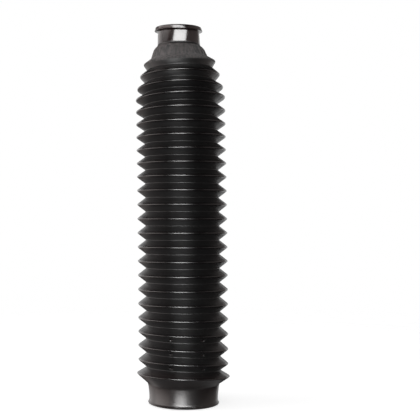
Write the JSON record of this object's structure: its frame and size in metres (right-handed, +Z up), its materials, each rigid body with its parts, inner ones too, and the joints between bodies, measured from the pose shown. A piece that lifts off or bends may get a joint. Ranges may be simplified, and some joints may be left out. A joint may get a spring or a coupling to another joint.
{
  "type": "fork gaiter",
  "caption": "Long rubber bellows that covers a motorbike's fork tube, with a wide lower cuff, a narrow beaded upper cuff and small vents in its lowest folds.",
  "frame": {"origin": "centre of the lower cuff's foot, on the plane that the gaiter stands on", "axes": "+Z up along the gaiter's axis, from the wide lower cuff to the narrow upper cuff; a row of vents faces -Y"},
  "size_m": [0.089, 0.089, 0.3606],
  "materials": {
    "rubber": "black moulded rubber, satin on the cuffs and matt on the shoulder"
  },
  "bodies": {
    "root": {"bellows": "rubber"}
  },
  "joints": []
}
